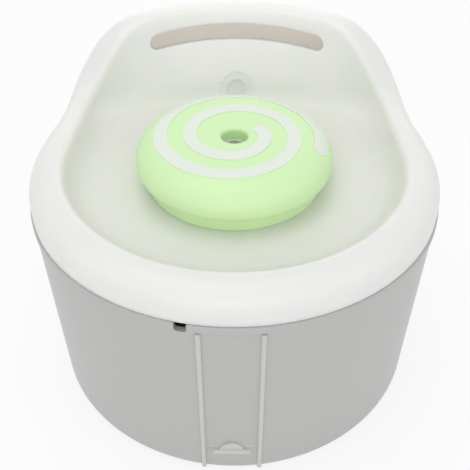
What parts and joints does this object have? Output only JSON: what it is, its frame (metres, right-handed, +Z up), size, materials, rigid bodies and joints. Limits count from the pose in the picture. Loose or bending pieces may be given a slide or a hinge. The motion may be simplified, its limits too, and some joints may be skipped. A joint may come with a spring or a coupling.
{
  "type": "pet water fountain",
  "caption": "Round-fronted pet water fountain with a hooded white tray, pale green spout cap with a white spiral, and a translucent tank.",
  "frame": {"origin": "on the surface it stands on, under the middle of the fountain's outline", "axes": "+Z up, -Y towards the drinking side, +Y towards the hood, +X to the right seen from the drinking side"},
  "size_m": [0.1914, 0.2084, 0.147],
  "materials": {
    "tank_plastic": "satin translucent",
    "foot_rubber": "matte",
    "white_plastic": "glossy moulded white",
    "cap_green": "soft satin pale green",
    "spiral_white": "soft satin white",
    "riser_plastic": "satin",
    "seal_silicone": "soft silicone",
    "filter_plastic": "satin",
    "carbon_grains": "loose grains",
    "filter_cotton": "felted",
    "pump_black": "satin",
    "potting_resin": "cast resin",
    "core_steel": "laminated",
    "coil_copper": "enamelled wire",
    "ferrite": "smooth",
    "impeller_plastic": "satin",
    "shaft_ceramic": "polished ceramic",
    "foam_dark": "open-cell foam",
    "cup_clear": "soft clear vinyl",
    "gland_rubber": "matte"
  },
  "bodies": {
    "tank_body": {"tank": "tank_plastic", "tank_feet": "foot_rubber", "pump_housing": "pump_black", "pump_back": "potting_resin", "stator_core": "core_steel", "stator_coil": "coil_copper", "rotor_shaft": "shaft_ceramic", "shaft_bushes": "seal_silicone", "volute_cover": "pump_black", "volute_seal": "seal_silicone", "pump_strainer": "pump_black", "prefilter_foam": "foam_dark", "suction_cups": "cup_clear", "cord_gland": "gland_rubber"},
    "tray_body": {"tray": "white_plastic"},
    "spout": {"swirl_cap": "cap_green", "swirl_inlay": "spiral_white", "cap_base": "cap_green", "riser_tube": "riser_plastic", "riser_seal": "seal_silicone"},
    "filter": {"filter_cup": "filter_plastic", "filter_shell": "filter_plastic", "filter_grille": "filter_plastic", "filter_carbon": "carbon_grains", "filter_cotton": "filter_cotton"},
    "rotor": {"rotor_magnet": "ferrite", "impeller": "impeller_plastic"}
  },
  "joints": [
    {"name": "tray_lift", "type": "slide", "parent": "tank_body", "child": "tray_body", "axis": [0, 0, 1], "range_m": [0, 0.12]},
    {"name": "spout_lift", "type": "slide", "parent": "tray_body", "child": "spout", "axis": [0, 0, 1], "range_m": [0, 0.09]},
    {"name": "filter_lift", "type": "slide", "parent": "tray_body", "child": "filter", "axis": [0, 0, 1], "range_m": [0, 0.045]},
    {"name": "impeller_spin", "type": "hinge", "parent": "tank_body", "child": "rotor", "pos_m": [0, -0.0085, 0.0352], "axis": [0, 1, 0], "continuous": true}
  ],
  "couplings": [
    {"joint": "filter_lift", "follows": "spout_lift", "ratio": 0.5}
  ]
}
